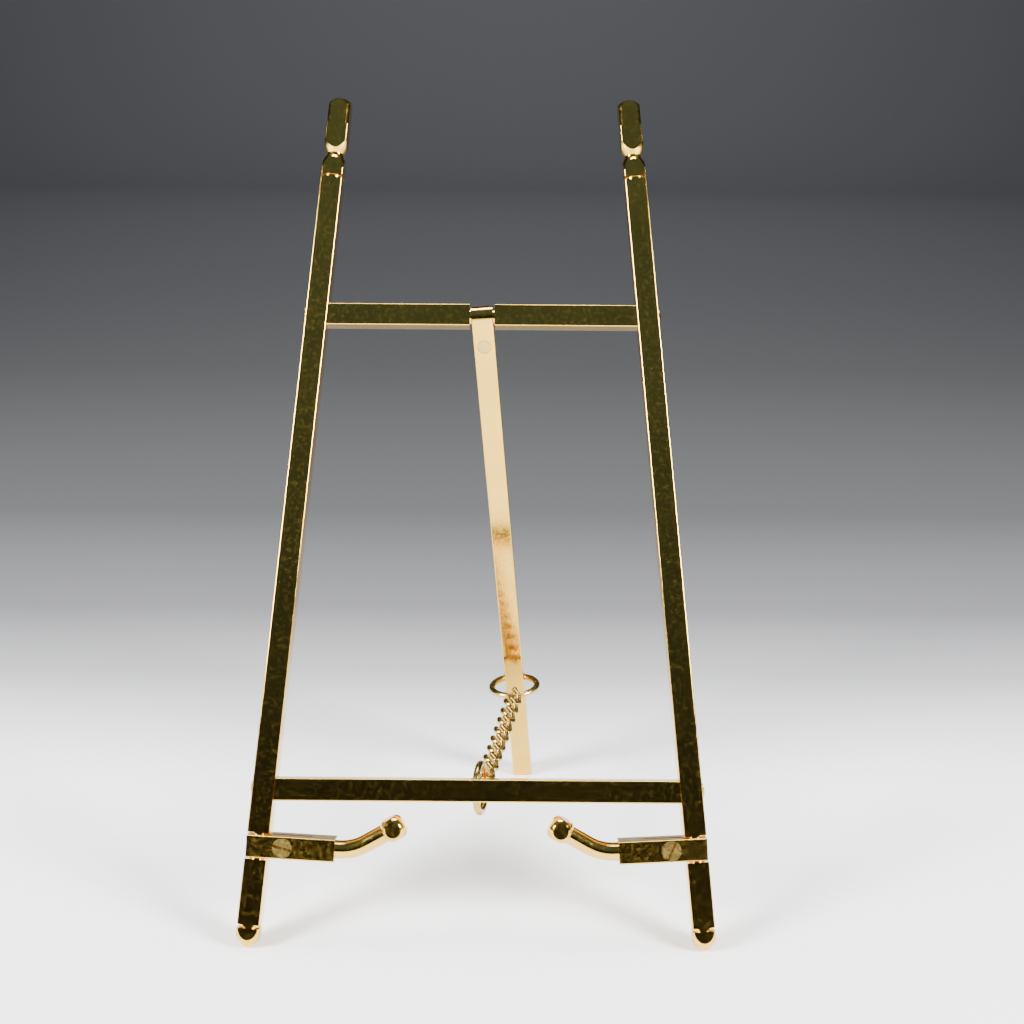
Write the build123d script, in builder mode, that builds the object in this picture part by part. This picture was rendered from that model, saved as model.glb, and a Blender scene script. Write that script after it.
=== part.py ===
"""Folding display stand of square brass bar, with a chain stay. Millimetres, +Z up, front at -Y."""
from build123d import *
import os
from math import asin, cos, degrees, radians, sin, sqrt

os.makedirs("parts", exist_ok=True)

# Bar stock
BAR = 6.35
HALF = BAR / 2
EDGE = 0.35
OUTSIDE = 4.8            # a radius outside every bar corner

# Front frame
FRAME_LEAN = 24.0
LEG_LEAN = 5.0
LEG_LENGTH = 249.0
FOOT_SPAN = 64.54        # half of the distance between the foot tips
FOOT_BALL_R = 2.18
GROOVE_R = 3.0
TOP_BAR_V = 179.53       # crossbar heights in the frame's plane, above the foot balls
BOTTOM_BAR_V = 42.03
DEPTH_SHIFT = -51.27       # centres the whole stand on Y

# Hooks
HOOK_V = 26.33
HOOK_NECK_R = 2.2
HOOK_NECK_LENGTH = 7.5
EYE_R = 2.25
SLIT = 0.8
HOOK_OUTER = 3.05
HOOK_INNER = 21.9
HOOK_RISE = 2.0
HOOK_DROOP = 5.0
HOOK_SCREW_AT = 7.1
HOOK_SLIT_END = 15.0
ROD_R = 2.55
ROD_BEND_R = 14.0
ROD_BEND = 32.0
ROD_END = 9.0
KNOB_R = 3.9
KNOB_FLAT = 3.3          # ball's centre to its flat end
CLAMP_HEAD_R = 2.9
CLAMP_SHANK_R = 1.6
SCREW_GAP = 0.12

# Rear leg
REAR_TILT = 10.0
REAR_SKEW = 4.65
REAR_SCREW_AT = 8.2
REAR_SLIT_END = 13.0
REAR_SCREW_TIP_R = 2.05
CENTRE_NECK_R = 2.2
CENTRE_NECK_LENGTH = 7.3
RING_HOLE_R = 1.6
REAR_HOLE_AT = 129.0

# End screws
END_HEAD_R = 2.5
END_HEAD_PROUD = 0.9
END_SHANK_R = 1.25
END_SHANK_LENGTH = 14.0
SPOTFACE = 0.3

# Rings and chain
UPPER_RING_R = 7.5
LOWER_RING_R = 6.85
RING_WIRE_R = 1.0
RING_REACH = 0.4         # ring radius less the distance from its centre to its hole's axis
LOWER_RING_X = -0.5
LOWER_RING_YAW = 11.0
LINKS = 9
LINK_WIRE_R = 0.85
LINK_HALF_WIDTH = 2.15
LINK_GAP = 0.15
CHAIN_TOP_ANGLE = 4.5    # descent of the first and last links
CHAIN_END_ANGLE = -1.5

LEAN_S, LEAN_C = sin(radians(FRAME_LEAN)), cos(radians(FRAME_LEAN))
X_AXIS = Vector(1, 0, 0)
FRAME_UP = Vector(0, LEAN_S, LEAN_C)
FRAME_FRONT = Vector(0, -LEAN_C, LEAN_S)
FRAME_ORIGIN = Vector(0, DEPTH_SHIFT, FOOT_BALL_R)


def on_frame(x, v, n=0.0):
    """Point at x across, v up and n in front of the frame's middle plane."""
    return FRAME_ORIGIN + X_AXIS * x + FRAME_UP * v + FRAME_FRONT * n


def leg_centre(v):
    """Distance of a leg's axis from the middle of the frame at height v."""
    lean = radians(LEG_LEAN)
    return FOOT_SPAN - FOOT_BALL_R * sin(lean) - v * sin(lean) / cos(lean)


def leg_directions():
    """Axis of the left leg and its inward direction, both in the frame's plane."""
    lean = radians(LEG_LEAN)
    axis = X_AXIS * sin(lean) + FRAME_UP * cos(lean)
    inward = X_AXIS * cos(lean) - FRAME_UP * sin(lean)
    return axis, inward


def square_bar(plane, start, end):
    """Square bar with slightly rounded edges along the plane's Z."""
    with BuildSketch(plane.offset(start)) as section:
        RectangleRounded(BAR, BAR, EDGE)
    extrude(section.sketch, amount=end - start)


def drill(plane, radius, start, end):
    """Round hole along the plane's Z."""
    with BuildSketch(plane.offset(start)) as section:
        Circle(radius)
    extrude(section.sketch, amount=end - start, mode=Mode.SUBTRACT)


def rod(plane, radius, start, end):
    """Round rod along the plane's Z."""
    with BuildSketch(plane.offset(start)) as section:
        Circle(radius)
    extrude(section.sketch, amount=end - start)


def cap_points(radius, base, top):
    """Three points of a ball cap's profile, from its rim to its pole on the axis."""
    height = top - base
    ball = (radius * radius + height * height) / (2 * abs(height))
    half_angle = asin(radius / ball) / 2
    middle = top - (1 if height > 0 else -1) * ball * (1 - cos(half_angle))
    return (radius, base), (ball * sin(half_angle), middle), (0, top)


def turn_foot_and_finial(plane):
    """Lathe-cut envelope of a front leg: ball foot, hook neck and bullet finial."""
    profile = Plane(origin=plane.origin, x_dir=plane.x_dir, z_dir=-plane.y_dir)
    neck = HOOK_V / cos(radians(LEG_LEAN)) + FOOT_BALL_R
    low, high = neck - HOOK_NECK_LENGTH / 2, neck + HOOK_NECK_LENGTH / 2
    top = LEG_LENGTH
    with BuildSketch(profile) as envelope:
        with BuildLine():
            ThreePointArc(*cap_points(1.9, 1.11, 0))
            ThreePointArc((1.9, 1.11), (3.3, 2.7), (4.2, 5.3))
            Polyline((4.2, 5.3), (4.2, 5.7), (GROOVE_R, 5.9), (GROOVE_R, 6.6),
                     (OUTSIDE, 6.9), (OUTSIDE, low), (HOOK_NECK_R, low), (HOOK_NECK_R, high),
                     (OUTSIDE, high), (OUTSIDE, top - 25.1), (GROOVE_R, top - 25.0), (GROOVE_R, top - 24.3),
                     (4.65, top - 24.0))
            ThreePointArc((4.65, top - 24.0), (3.75, top - 20.2), (2.35, top - 17.6))
            Line((2.35, top - 17.6), (2.35, top - 17.2))
            ThreePointArc((2.35, top - 17.2), (4.0, top - 14.4), (4.65, top - 12.1))
            Polyline((4.65, top - 12.1), (4.65, top - 8.43), (3.94, top - 8.43), (3.94, top - 2.4))
            ThreePointArc(*cap_points(3.94, top - 2.4, top))
            Line((0, top), (0, 0))
        make_face()
    revolve(envelope.sketch, axis=Axis(plane.origin, plane.z_dir), mode=Mode.INTERSECT)


def drill_end_screws():
    """Clearance holes and shallow spotfaces for the left leg's two end screws."""
    for v in (TOP_BAR_V, BOTTOM_BAR_V):
        seat = Plane(origin=on_frame(-leg_centre(v), v), x_dir=(0, 1, 0), z_dir=(1, 0, 0))
        drill(seat, END_SHANK_R + 0.05, -8, 8)
        drill(seat, END_HEAD_R + 0.25, -8, -HALF + SPOTFACE)


LEG_AXIS, LEG_INWARD = leg_directions()
LEG_FOOT = on_frame(-leg_centre(0), 0) - LEG_AXIS * FOOT_BALL_R
LEG_PLANE = Plane(origin=LEG_FOOT, x_dir=LEG_INWARD, z_dir=LEG_AXIS)

with BuildPart() as left_leg:
    square_bar(LEG_PLANE, 0, LEG_LENGTH)
    turn_foot_and_finial(LEG_PLANE)
    drill_end_screws()
left_leg.part.label = "left_leg"
export_step(left_leg.part, "parts/left_leg.step")

with BuildPart() as right_leg:
    add(mirror(left_leg.part, about=Plane.YZ))
right_leg.part.label = "right_leg"
export_step(right_leg.part, "parts/right_leg.step")


def crossbar_blank(v):
    """Square bar between the legs, with ends cut to lie on the legs' inner faces."""
    lean = radians(LEG_LEAN)
    rise = HALF * sin(lean) / cos(lean)
    reach = leg_centre(v) - HALF / cos(lean)
    along = Plane(origin=on_frame(0, v), x_dir=FRAME_UP, z_dir=X_AXIS)
    square_bar(along, -reach - rise, reach + rise)
    face = Plane(origin=on_frame(0, v), x_dir=X_AXIS, z_dir=FRAME_FRONT)
    with BuildSketch(face) as outline:
        with BuildLine():
            Polyline((-reach - rise, -HALF), (reach + rise, -HALF), (reach - rise, HALF),
                     (-reach + rise, HALF), close=True)
        make_face()
    extrude(outline.sketch, amount=HALF, both=True, mode=Mode.INTERSECT)
    for side in (-1, 1):
        start = reach - 12
        end = Plane(origin=on_frame(0, v), x_dir=FRAME_UP, z_dir=X_AXIS * side)
        drill(end, END_SHANK_R + 0.05, start, reach + 2)
    return along


with BuildPart() as top_crossbar:
    bar_line = crossbar_blank(TOP_BAR_V)
    with BuildSketch(Plane(origin=bar_line.origin, x_dir=FRAME_UP, z_dir=FRAME_FRONT)):
        with Locations((HALF + CENTRE_NECK_R, 0), (-HALF - CENTRE_NECK_R, 0)):
            Rectangle(BAR, CENTRE_NECK_LENGTH)
    extrude(amount=BAR, both=True, mode=Mode.SUBTRACT)
    rod(bar_line, CENTRE_NECK_R, -CENTRE_NECK_LENGTH / 2 - 1, CENTRE_NECK_LENGTH / 2 + 1)
    with BuildSketch(bar_line.offset(-CENTRE_NECK_LENGTH / 2)):
        Rectangle(3 * BAR, 3 * BAR)
        Circle(CENTRE_NECK_R, mode=Mode.SUBTRACT)
    extrude(amount=CENTRE_NECK_LENGTH, mode=Mode.SUBTRACT)
top_crossbar.part.label = "top_crossbar"
export_step(top_crossbar.part, "parts/top_crossbar.step")

with BuildPart() as bottom_crossbar:
    crossbar_blank(BOTTOM_BAR_V)
    ring_hole = Plane(origin=on_frame(LOWER_RING_X, BOTTOM_BAR_V), x_dir=X_AXIS, z_dir=FRAME_UP)
    drill(ring_hole, RING_HOLE_R, -BAR, BAR)
bottom_crossbar.part.label = "bottom_crossbar"
export_step(bottom_crossbar.part, "parts/bottom_crossbar.step")


def end_screw(v, side):
    """Domed screw through a leg into the end of a crossbar; side is -1 left, 1 right."""
    outer = leg_centre(v) + HALF - SPOTFACE
    axis = Plane(origin=on_frame(side * outer, v), x_dir=FRAME_UP, z_dir=X_AXIS * side)
    rod(axis, END_SHANK_R, -END_SHANK_LENGTH, 0)
    profile = Plane(origin=axis.origin, x_dir=FRAME_UP, z_dir=-axis.y_dir)
    height = SPOTFACE + END_HEAD_PROUD
    with BuildSketch(profile) as head:
        with BuildLine():
            Polyline((0, 0), (END_HEAD_R, 0), (END_HEAD_R, height * 0.45))
            ThreePointArc(*cap_points(END_HEAD_R, height * 0.45, height))
            Line((0, height), (0, 0))
        make_face()
    revolve(head.sketch, axis=Axis(axis.origin, axis.z_dir))


with BuildPart() as top_left_end_screw:
    end_screw(TOP_BAR_V, -1)
top_left_end_screw.part.label = "top_left_end_screw"
export_step(top_left_end_screw.part, "parts/top_left_end_screw.step")

with BuildPart() as top_right_end_screw:
    end_screw(TOP_BAR_V, 1)
top_right_end_screw.part.label = "top_right_end_screw"
export_step(top_right_end_screw.part, "parts/top_right_end_screw.step")

with BuildPart() as bottom_left_end_screw:
    end_screw(BOTTOM_BAR_V, -1)
bottom_left_end_screw.part.label = "bottom_left_end_screw"
export_step(bottom_left_end_screw.part, "parts/bottom_left_end_screw.step")

with BuildPart() as bottom_right_end_screw:
    end_screw(BOTTOM_BAR_V, 1)
bottom_right_end_screw.part.label = "bottom_right_end_screw"
export_step(bottom_right_end_screw.part, "parts/bottom_right_end_screw.step")


def rear_leg_plane():
    """Plane at the hinge, Z up the rear leg, Y towards its rear face."""
    tilt, skew = radians(REAR_TILT), radians(REAR_SKEW)
    up = Vector(-sin(skew), -cos(skew) * sin(tilt), cos(skew) * cos(tilt))
    rear = Vector(0, cos(tilt), sin(tilt))
    return Plane(origin=on_frame(0, TOP_BAR_V), x_dir=rear.cross(up), z_dir=up)


def rear_leg_length():
    """Length from the hinge that sets the foot's lower front edge on the ground."""
    tilt, skew = radians(REAR_TILT), radians(REAR_SKEW)
    drop = on_frame(0, TOP_BAR_V).Z - HALF * (sin(tilt) + sin(skew) * cos(tilt))
    return drop / (cos(tilt) * cos(skew)) + 0.05


def clamp_screw(axis, head_end, tip_end, tip_r, slot_angle):
    """Flush slotted screw; axis Z points out of the head's face."""
    rod(axis, tip_r - SCREW_GAP, -tip_end, head_end - 1.45)
    rod(axis, CLAMP_HEAD_R - SCREW_GAP, head_end - 1.5, head_end - 0.1)
    with BuildSketch(axis.offset(head_end)) as slot:
        Rectangle(2.4 * CLAMP_HEAD_R, 0.8, rotation=slot_angle)
    extrude(slot.sketch, amount=-1.0, mode=Mode.SUBTRACT)


REAR_PLANE = rear_leg_plane()
REAR_LENGTH = rear_leg_length()
REAR_HOLE = REAR_PLANE.origin - REAR_PLANE.z_dir * REAR_HOLE_AT

with BuildPart() as rear_leg:
    square_bar(REAR_PLANE, -REAR_LENGTH, BAR)
    side_view = Plane(origin=REAR_PLANE.origin, x_dir=REAR_PLANE.z_dir, z_dir=REAR_PLANE.x_dir)
    with BuildSketch(side_view):
        Circle(HALF)
        with Locations((-REAR_LENGTH / 2, 0)):
            RectangleRounded(REAR_LENGTH, BAR, 0.3)
        with Locations((-REAR_LENGTH / 4, 0)):
            Rectangle(REAR_LENGTH / 2, BAR)
    extrude(amount=HALF, both=True, mode=Mode.INTERSECT)
    eye = Plane(origin=REAR_PLANE.origin, x_dir=(0, 1, 0), z_dir=X_AXIS)
    drill(eye, EYE_R, -BAR, BAR)
    slit_face = Plane(origin=REAR_PLANE.origin, x_dir=REAR_PLANE.x_dir, z_dir=REAR_PLANE.y_dir)
    with BuildSketch(slit_face):
        with Locations((0, (REAR_SLIT_END - BAR) / 2)):
            Rectangle(2 * BAR, REAR_SLIT_END + BAR)
    extrude(amount=SLIT / 2, both=True, mode=Mode.SUBTRACT)
    screw_line = Plane(origin=REAR_PLANE.origin - REAR_PLANE.z_dir * REAR_SCREW_AT,
                       x_dir=REAR_PLANE.x_dir, z_dir=REAR_PLANE.y_dir)
    drill(screw_line, REAR_SCREW_TIP_R, -BAR, BAR)
    drill(screw_line, CLAMP_HEAD_R, HALF - 1.5, BAR)
    cross_hole = Plane(origin=REAR_HOLE, x_dir=REAR_PLANE.z_dir, z_dir=REAR_PLANE.x_dir)
    drill(cross_hole, RING_HOLE_R, -BAR, BAR)
rear_leg.part.label = "rear_leg"
export_step(rear_leg.part, "parts/rear_leg.step")

with BuildPart() as rear_leg_screw:
    clamp_screw(screw_line, HALF, HALF - 0.05, REAR_SCREW_TIP_R, 20)
rear_leg_screw.part.label = "rear_leg_screw"
export_step(rear_leg_screw.part, "parts/rear_leg_screw.step")


def hook_plane():
    """Plane at the left hook's eye: X inward along the block, Y up, Z out of its front face."""
    rise, droop = radians(HOOK_RISE), radians(HOOK_DROOP)
    along = LEG_INWARD * cos(rise) + LEG_AXIS * sin(rise)
    up = LEG_AXIS * cos(rise) - LEG_INWARD * sin(rise)
    front = FRAME_FRONT * cos(droop) - up * sin(droop)
    return Plane(origin=on_frame(-leg_centre(HOOK_V), HOOK_V), x_dir=along, z_dir=front)


HOOK_PLANE = hook_plane()
HOOK_LINE = Plane(origin=HOOK_PLANE.origin, x_dir=HOOK_PLANE.y_dir, z_dir=HOOK_PLANE.x_dir)
HOOK_SCREW_PLANE = Plane(origin=HOOK_PLANE.origin + HOOK_PLANE.x_dir * HOOK_SCREW_AT,
                         x_dir=HOOK_PLANE.x_dir, z_dir=HOOK_PLANE.z_dir)


BEND = radians(ROD_BEND)
BEND_START = (HOOK_INNER + 1.1, 0)
BEND_END = (BEND_START[0] + ROD_BEND_R * sin(BEND), ROD_BEND_R * (1 - cos(BEND)))
KNOB_CENTRE = (BEND_END[0] + ROD_END * cos(BEND), BEND_END[1] + ROD_END * sin(BEND))
KNOB_PLACE = Plane(origin=HOOK_PLANE.from_local_coords((*KNOB_CENTRE, 0)), x_dir=HOOK_PLANE.z_dir,
                   z_dir=HOOK_PLANE.x_dir * cos(BEND) + HOOK_PLANE.y_dir * sin(BEND))
KNOB_BAR = Pos(0, 0, (KNOB_FLAT - KNOB_R) / 2) * Box(BAR, BAR, KNOB_FLAT + KNOB_R)
KNOB = KNOB_PLACE * (Sphere(KNOB_R) & KNOB_BAR)

with BuildPart() as left_hook:
    square_bar(HOOK_LINE, -HOOK_OUTER, HOOK_INNER)
    bore = Plane(origin=HOOK_PLANE.origin, x_dir=LEG_INWARD, z_dir=LEG_AXIS)
    drill(bore, EYE_R, -BAR, BAR)
    with BuildSketch(HOOK_PLANE):
        with Locations(((HOOK_SLIT_END - BAR) / 2, 0)):
            Rectangle(HOOK_SLIT_END + BAR, 2 * BAR)
    extrude(amount=SLIT / 2, both=True, mode=Mode.SUBTRACT)
    drill(HOOK_SCREW_PLANE, CLAMP_SHANK_R, -BAR, BAR)
    drill(HOOK_SCREW_PLANE, CLAMP_HEAD_R, HALF - 1.5, BAR)
    with BuildLine(HOOK_PLANE) as rod_path:
        Line((HOOK_INNER - 2, 0), BEND_START)
        RadiusArc(BEND_START, BEND_END, -ROD_BEND_R)
        Line(BEND_END, KNOB_CENTRE)
    with BuildSketch(HOOK_LINE.offset(HOOK_INNER - 2)):
        Circle(ROD_R)
    sweep(path=rod_path.line)
    add(KNOB)
left_hook.part.label = "left_hook"
export_step(left_hook.part, "parts/left_hook.step")

with BuildPart() as left_hook_screw:
    clamp_screw(HOOK_SCREW_PLANE, HALF, HALF - 0.1, CLAMP_SHANK_R, -12)
left_hook_screw.part.label = "left_hook_screw"
export_step(left_hook_screw.part, "parts/left_hook_screw.step")

with BuildPart() as right_hook:
    add(mirror(left_hook.part, about=Plane.YZ))
right_hook.part.label = "right_hook"
export_step(right_hook.part, "parts/right_hook.step")

with BuildPart() as right_hook_screw:
    right_line = Plane(origin=Vector(-HOOK_SCREW_PLANE.origin.X, HOOK_SCREW_PLANE.origin.Y,
                                     HOOK_SCREW_PLANE.origin.Z),
                       x_dir=Vector(HOOK_SCREW_PLANE.x_dir.X, -HOOK_SCREW_PLANE.x_dir.Y,
                                    -HOOK_SCREW_PLANE.x_dir.Z),
                       z_dir=Vector(-HOOK_SCREW_PLANE.z_dir.X, HOOK_SCREW_PLANE.z_dir.Y,
                                    HOOK_SCREW_PLANE.z_dir.Z))
    clamp_screw(right_line, HALF, HALF - 0.1, CLAMP_SHANK_R, 63)
right_hook_screw.part.label = "right_hook_screw"
export_step(right_hook_screw.part, "parts/right_hook_screw.step")


def ring(centre, radius, outward, normal):
    """Wire ring."""
    with BuildSketch(Plane(origin=centre, x_dir=outward, z_dir=normal.cross(outward))) as section:
        with Locations((radius, 0)):
            Circle(RING_WIRE_R)
    revolve(section.sketch, axis=Axis(centre, normal))


UPPER_RING_CENTRE = REAR_HOLE + Vector(0, RING_REACH - UPPER_RING_R, 0)
YAW = radians(LOWER_RING_YAW)
LOWER_RING_REAR = X_AXIS * sin(YAW) - FRAME_FRONT * cos(YAW)
LOWER_RING_CENTRE = on_frame(LOWER_RING_X, BOTTOM_BAR_V) + LOWER_RING_REAR * (LOWER_RING_R - RING_REACH)

with BuildPart() as upper_ring:
    ring_normal = REAR_PLANE.x_dir.cross(Vector(0, 1, 0)).normalized()
    ring(UPPER_RING_CENTRE, UPPER_RING_R, REAR_PLANE.x_dir, ring_normal)
upper_ring.part.label = "upper_ring"
export_step(upper_ring.part, "parts/upper_ring.step")

with BuildPart() as lower_ring:
    ring(LOWER_RING_CENTRE, LOWER_RING_R, LOWER_RING_REAR, LOWER_RING_REAR.cross(FRAME_UP))
lower_ring.part.label = "lower_ring"
export_step(lower_ring.part, "parts/lower_ring.step")

# Chain: crossing points from the far side of the upper ring to the inside rear of the lower ring
RING_TO_BAR = RING_WIRE_R + LINK_WIRE_R + 0.1
LINK_STEP_BACK = 2 * LINK_WIRE_R + LINK_GAP
CHAIN_START = UPPER_RING_CENTRE + Vector(0, -UPPER_RING_R, 0)
CHAIN_END = LOWER_RING_CENTRE + Vector(sin(YAW), cos(YAW), 0) * (LOWER_RING_R - RING_TO_BAR)


def link_directions():
    """Descent angle of each link below level, from the upper ring forwards."""
    run, fall = CHAIN_START.Y - CHAIN_END.Y, CHAIN_START.Z - CHAIN_END.Z
    middle = (CHAIN_TOP_ANGLE + CHAIN_END_ANGLE) / 2
    chord = degrees(fall / run)
    step = (CHAIN_END_ANGLE - CHAIN_TOP_ANGLE) / (LINKS - 1)
    return [chord - middle + CHAIN_TOP_ANGLE + step * i for i in range(LINKS)]


def chain_span():
    """Vector from the first crossing to the last, and its length with the sag."""
    span = CHAIN_END - CHAIN_START
    bend = radians(CHAIN_TOP_ANGLE - CHAIN_END_ANGLE) / 2
    return span, span.length * (1 + bend * bend / 6)


CHAIN_SPAN, CHAIN_LENGTH = chain_span()
LINK_A = (CHAIN_LENGTH + RING_TO_BAR + (LINKS - 1) * LINK_STEP_BACK) / (2 * LINKS)
LINK_SLANT = CHAIN_SPAN.X / sqrt(CHAIN_SPAN.Y ** 2 + CHAIN_SPAN.Z ** 2)
LINK_ANGLES = link_directions()


def link_direction(index):
    angle = radians(LINK_ANGLES[index])
    return Vector(LINK_SLANT, -cos(angle), -sin(angle)).normalized()


def link_middle(index):
    """Middle of a link."""
    point = CHAIN_START
    back = RING_TO_BAR
    for i in range(index):
        point = point + link_direction(i) * (2 * LINK_A - back)
        back = LINK_STEP_BACK
    return point + link_direction(index) * (LINK_A - back)


def link_place(index):
    """Plane in the middle of a link: Z towards its front end, X along its front bar."""
    direction = link_direction(index)
    across = (X_AXIS - direction * direction.X).normalized()
    return Plane(origin=link_middle(index), x_dir=across, z_dir=direction)


with BuildPart(mode=Mode.PRIVATE) as link:
    straight = LINK_A - LINK_HALF_WIDTH
    with BuildSketch(Plane.XY.offset(straight)):
        with Locations((LINK_HALF_WIDTH, 0)):
            Circle(LINK_WIRE_R)
    revolve(axis=Axis((0, 0, straight), (0, -1, 0)), revolution_arc=180)
    with BuildSketch(Plane.XY.offset(-straight)):
        with Locations((0, LINK_HALF_WIDTH)):
            Circle(LINK_WIRE_R)
    revolve(axis=Axis((0, 0, -straight), (-1, 0, 0)), revolution_arc=180)
    for sign in (-1, 1):
        rear_corner = Vector(0, LINK_HALF_WIDTH * sign, -straight)
        bulge = Vector(LINK_HALF_WIDTH * sign, LINK_HALF_WIDTH * sign, 0) * sqrt(0.5)
        front_corner = Vector(LINK_HALF_WIDTH * sign, 0, straight)
        for start, end in ((rear_corner, bulge), (bulge, front_corner)):
            side_line = end - start
            rod(Plane(origin=start, z_dir=side_line), LINK_WIRE_R, 0, side_line.length)
        with Locations(rear_corner, bulge, front_corner):
            Sphere(LINK_WIRE_R + 0.02)

with BuildPart() as chain_link_1:
    add(link_place(0) * link.part)
chain_link_1.part.label = "chain_link_1"
export_step(chain_link_1.part, "parts/chain_link_1.step")

with BuildPart() as chain_link_2:
    add(link_place(1) * link.part)
chain_link_2.part.label = "chain_link_2"
export_step(chain_link_2.part, "parts/chain_link_2.step")

with BuildPart() as chain_link_3:
    add(link_place(2) * link.part)
chain_link_3.part.label = "chain_link_3"
export_step(chain_link_3.part, "parts/chain_link_3.step")

with BuildPart() as chain_link_4:
    add(link_place(3) * link.part)
chain_link_4.part.label = "chain_link_4"
export_step(chain_link_4.part, "parts/chain_link_4.step")

with BuildPart() as chain_link_5:
    add(link_place(4) * link.part)
chain_link_5.part.label = "chain_link_5"
export_step(chain_link_5.part, "parts/chain_link_5.step")

with BuildPart() as chain_link_6:
    add(link_place(5) * link.part)
chain_link_6.part.label = "chain_link_6"
export_step(chain_link_6.part, "parts/chain_link_6.step")

with BuildPart() as chain_link_7:
    add(link_place(6) * link.part)
chain_link_7.part.label = "chain_link_7"
export_step(chain_link_7.part, "parts/chain_link_7.step")

with BuildPart() as chain_link_8:
    add(link_place(7) * link.part)
chain_link_8.part.label = "chain_link_8"
export_step(chain_link_8.part, "parts/chain_link_8.step")

with BuildPart() as chain_link_9:
    add(link_place(8) * link.part)
chain_link_9.part.label = "chain_link_9"
export_step(chain_link_9.part, "parts/chain_link_9.step")
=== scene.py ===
"""Looks for the folding brass display stand: materials, floor, lights and camera."""
import math

import bpy
from mathutils import Matrix, Vector

# Camera at the photograph's viewing angle, in metres and degrees.
CAMERA_AT = (0.00919, -0.38833, 0.24131)
CAMERA_DOWN_DEG = 18.3
CAMERA_ROLL_DEG = 0.45
CAMERA_LENS_MM = 49.2
CAMERA_NEAR_M = 0.01
SENSOR_MM = 36.0

# Each brass: material name, base colour, roughness, roughness added by specks of dust.
BAR_BRASS = ("bar_brass", (0.88, 0.54, 0.09), 0.11, 0.12)
SCREW_BRASS = ("screw_brass", (0.66, 0.45, 0.12), 0.24, 0.1)
CHAIN_BRASS = ("chain_brass", (0.60, 0.40, 0.10), 0.22, 0.12)

# Noise textures that mark the brass; each FADE is the band of noise values it is spread over.
TARNISH_SCALE = 60.0
TARNISH_DETAIL = 6.0
TARNISH_SHADE = 0.82
TARNISH_FADE = (0.3, 0.65)
DUST_SCALE = 900.0
DUST_DETAIL = 3.0
DUST_FADE = (0.45, 0.8)
HAIRLINE_SCALE = 2500.0
HAIRLINE_DETAIL = 4.0
HAIRLINE_STRETCH = (1.0, 0.25, 0.06)
HAIRLINE_TURN_RAD = (0.5, 0.3, 0.4)
HAIRLINE_STRENGTH = 0.2
HAIRLINE_DEPTH_M = 0.00005

# Backdrop sheet, in metres: floor from front to back, then a bend up into a wall.
FLOOR_FRONT_Y = -3.0
FLOOR_BACK_Y = 2.2
BEND_RADIUS = 0.8
BEND_STEPS = 12
WALL_TOP_Z = 4.0
SHEET_HALF_WIDTH = 4.0
FLOOR_ROUGHNESS = 0.75
FLOOR_SPECULAR = 0.2

# Floor colour by distance behind the origin, each place a fraction of FLOOR_FADE_M. Past the
# white near the stand, the colour is painted shade that darkens to deep grey further back and
# up the wall, standing in for light falling off.
FLOOR_FADE_M = 2.0
FLOOR_PAINTED_SHADE_STOPS = (
    (0.022, (0.95, 0.955, 0.96)),
    (0.065, (0.36, 0.36, 0.3672)),
    (0.1, (0.17, 0.17, 0.1734)),
    (0.17, (0.09, 0.09, 0.0918)),
    (0.35, (0.07, 0.07, 0.0714)),
    (1.0, (0.09, 0.09, 0.094)),
)

# Room colour by height, from level to overhead.
ROOM_STOPS = (
    (0.3, (0.010, 0.014, 0.024)),
    (0.75, (0.08, 0.135, 0.22)),
)

# Each light: name, place, the point it is aimed at, size in metres, power in watts.
SOFTBOXES = (
    ("left_box", (-0.75, -0.42, 0.5), (0, 0, 0.05), (0.3, 0.4), 33),
    ("right_box", (0.75, -0.42, 0.5), (0, 0, 0.05), (0.3, 0.4), 33),
    ("top_box", (0.0, 0.35, 1.1), (0, 0.05, 0), (0.5, 0.3), 10),
    ("wall_light", (0.0, 1.2, 1.6), (0, 3.2, 0.5), (1.5, 0.5), 30),
)

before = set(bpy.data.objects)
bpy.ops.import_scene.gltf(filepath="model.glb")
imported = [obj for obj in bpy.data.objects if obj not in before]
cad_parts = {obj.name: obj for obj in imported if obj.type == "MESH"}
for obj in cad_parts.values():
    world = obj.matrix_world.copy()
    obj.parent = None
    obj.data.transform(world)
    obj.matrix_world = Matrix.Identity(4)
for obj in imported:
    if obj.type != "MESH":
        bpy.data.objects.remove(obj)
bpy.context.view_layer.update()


def new_material(name):
    """A material with nodes, and its Principled shader."""
    material = bpy.data.materials.new(name)
    material.use_nodes = True
    return material, material.node_tree.nodes["Principled BSDF"]


def noise(tree, vector, scale, detail):
    """Noise over a vector."""
    texture = tree.nodes.new("ShaderNodeTexNoise")
    texture.inputs["Scale"].default_value = scale
    texture.inputs["Detail"].default_value = detail
    tree.links.new(vector, texture.inputs["Vector"])
    return texture.outputs["Fac"]


def rescale(tree, value, low, high, to_low, to_high):
    """A value taken from one range to another."""
    scaled = tree.nodes.new("ShaderNodeMapRange")
    scaled.inputs["From Min"].default_value = low
    scaled.inputs["From Max"].default_value = high
    scaled.inputs["To Min"].default_value = to_low
    scaled.inputs["To Max"].default_value = to_high
    tree.links.new(value, scaled.inputs["Value"])
    return scaled.outputs["Result"]


def colour_ramp(tree, value, stops):
    """A colour for each value, from stops of (place, colour) in rising order."""
    ramp = tree.nodes.new("ShaderNodeValToRGB")
    elements = ramp.color_ramp.elements
    for end, (place, colour) in ((elements[0], stops[0]), (elements[1], stops[-1])):
        end.position = place
        end.color = (*colour, 1)
    for place, colour in stops[1:-1]:
        elements.new(place).color = (*colour, 1)
    tree.links.new(value, ramp.inputs["Fac"])
    return ramp.outputs["Color"]


def axis_of(tree, space, axis):
    """One axis of a texture coordinate."""
    coords = tree.nodes.new("ShaderNodeTexCoord")
    split = tree.nodes.new("ShaderNodeSeparateXYZ")
    tree.links.new(coords.outputs[space], split.inputs["Vector"])
    return split.outputs[axis]


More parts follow.
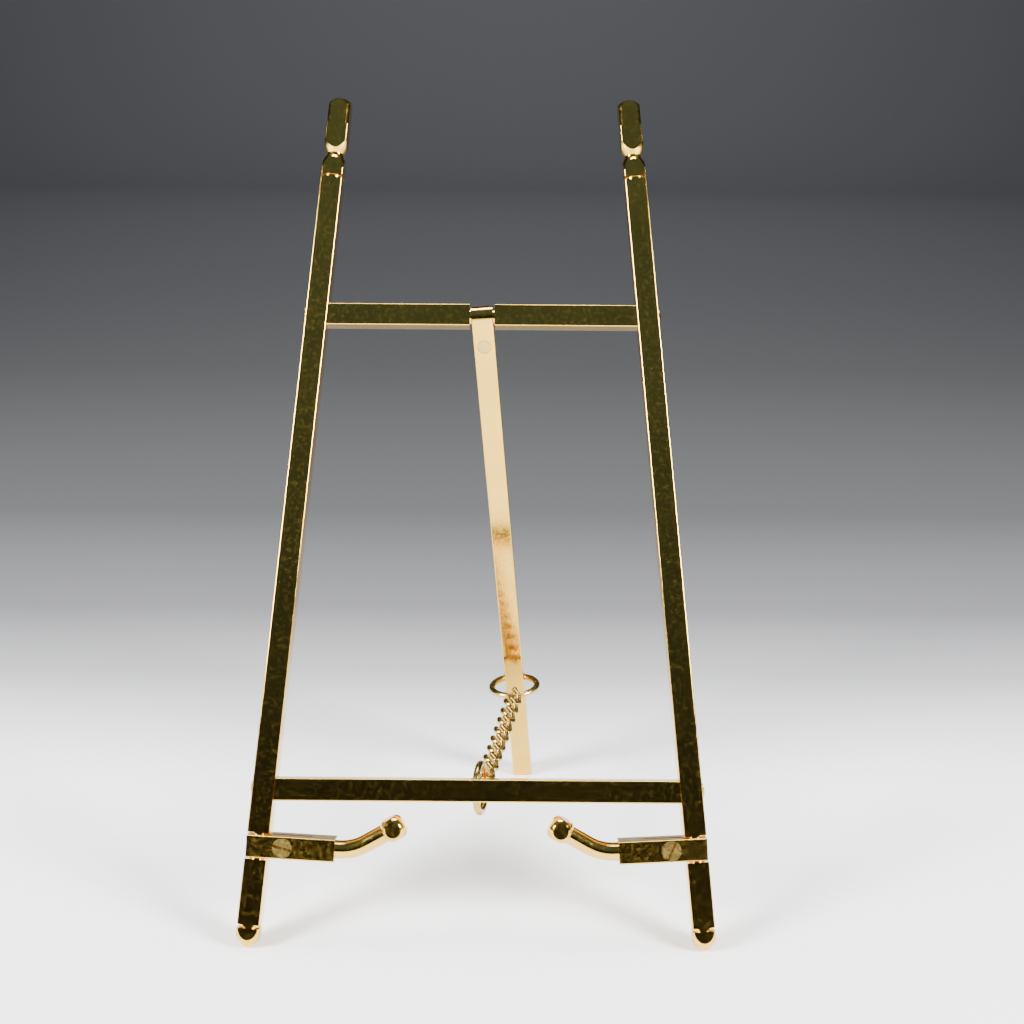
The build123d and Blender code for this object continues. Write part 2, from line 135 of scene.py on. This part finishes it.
def brass(name, colour, roughness, dusty):
    """Polished bare brass with faint tarnish, specks of dust and hairline scratches."""
    material, shader = new_material(name)
    tree = material.node_tree
    place = tree.nodes.new("ShaderNodeTexCoord").outputs["Object"]
    shader.inputs["Metallic"].default_value = 1.0

    tarnish = noise(tree, place, TARNISH_SCALE, TARNISH_DETAIL)
    dark = tuple(c * TARNISH_SHADE for c in colour)
    tint = colour_ramp(tree, tarnish, tuple(zip(TARNISH_FADE, (dark, colour))))
    tree.links.new(tint, shader.inputs["Base Color"])

    dust = noise(tree, place, DUST_SCALE, DUST_DETAIL)
    gloss = rescale(tree, dust, *DUST_FADE, roughness, roughness + dusty)
    tree.links.new(gloss, shader.inputs["Roughness"])

    stretch = tree.nodes.new("ShaderNodeMapping")
    stretch.inputs["Scale"].default_value = HAIRLINE_STRETCH
    stretch.inputs["Rotation"].default_value = HAIRLINE_TURN_RAD
    tree.links.new(place, stretch.inputs["Vector"])
    hairlines = noise(tree, stretch.outputs["Vector"], HAIRLINE_SCALE, HAIRLINE_DETAIL)
    bump = tree.nodes.new("ShaderNodeBump")
    bump.inputs["Strength"].default_value = HAIRLINE_STRENGTH
    bump.inputs["Distance"].default_value = HAIRLINE_DEPTH_M
    tree.links.new(hairlines, bump.inputs["Height"])
    tree.links.new(bump.outputs["Normal"], shader.inputs["Normal"])
    return material


def stage_material():
    """Pale floor with painted shade that greys it with distance."""
    material, shader = new_material("floor_with_painted_shade")
    tree = material.node_tree
    shader.inputs["Roughness"].default_value = FLOOR_ROUGHNESS
    shader.inputs["Specular IOR Level"].default_value = FLOOR_SPECULAR
    depth = rescale(tree, axis_of(tree, "Object", "Y"), 0.0, FLOOR_FADE_M, 0.0, 1.0)
    # Painted shade: the ramp darkens the floor colour with distance behind the stand.
    tree.links.new(colour_ramp(tree, depth, FLOOR_PAINTED_SHADE_STOPS), shader.inputs["Base Color"])
    return material


def floor_and_backdrop():
    """One sheet: a floor that curves up into a wall behind the stand."""
    profile = [(FLOOR_FRONT_Y, 0.0), (FLOOR_BACK_Y, 0.0)]
    for step in range(1, BEND_STEPS + 1):
        turn = math.radians(90 * step / BEND_STEPS)
        profile.append((FLOOR_BACK_Y + BEND_RADIUS * math.sin(turn),
                        BEND_RADIUS * (1 - math.cos(turn))))
    profile.append((FLOOR_BACK_Y + BEND_RADIUS, WALL_TOP_Z))
    verts = [(x, y, z) for y, z in profile for x in (-SHEET_HALF_WIDTH, SHEET_HALF_WIDTH)]
    faces = [(2 * i, 2 * i + 1, 2 * i + 3, 2 * i + 2) for i in range(len(profile) - 1)]
    mesh = bpy.data.meshes.new("backdrop")
    mesh.from_pydata(verts, [], faces)
    for face in mesh.polygons:
        face.use_smooth = True
    sheet = bpy.data.objects.new("backdrop", mesh)
    bpy.context.collection.objects.link(sheet)
    mesh.materials.append(stage_material())


def softbox(name, place, target, size, power):
    """Rectangular soft light aimed at a point."""
    light = bpy.data.lights.new(name, "AREA")
    light.shape = "RECTANGLE"
    light.size, light.size_y = size
    light.energy = power
    lamp = bpy.data.objects.new(name, light)
    bpy.context.collection.objects.link(lamp)
    lamp.location = place
    aim = Vector(target) - Vector(place)
    lamp.rotation_euler = aim.to_track_quat("-Z", "Y").to_euler()


def dim_room():
    """Dark room round the set, seen in the polished front faces."""
    world = bpy.data.worlds.new("room")
    bpy.context.scene.world = world
    world.use_nodes = True
    tree = world.node_tree
    glow = colour_ramp(tree, axis_of(tree, "Generated", "Z"), ROOM_STOPS)
    tree.links.new(glow, tree.nodes["Background"].inputs["Color"])


def camera():
    """Camera at the photograph's viewing angle."""
    lens = bpy.data.cameras.new("camera")
    lens.lens = CAMERA_LENS_MM
    lens.sensor_width = SENSOR_MM
    lens.clip_start = CAMERA_NEAR_M
    eye = bpy.data.objects.new("camera", lens)
    bpy.context.collection.objects.link(eye)
    tilt = Matrix.Rotation(math.radians(90 - CAMERA_DOWN_DEG), 4, "X")
    roll = Matrix.Rotation(math.radians(CAMERA_ROLL_DEG), 4, "Z")
    eye.matrix_world = Matrix.Translation(CAMERA_AT) @ tilt @ roll
    bpy.context.scene.camera = eye


bar = brass(*BAR_BRASS)
screw = brass(*SCREW_BRASS)
chain = brass(*CHAIN_BRASS)

for node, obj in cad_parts.items():
    chain_piece = "chain" in node or "ring" in node
    look = chain if chain_piece else screw if "screw" in node else bar
    for slot in obj.material_slots:
        slot.material = look

floor_and_backdrop()
dim_room()
for box in SOFTBOXES:
    softbox(*box)
camera()
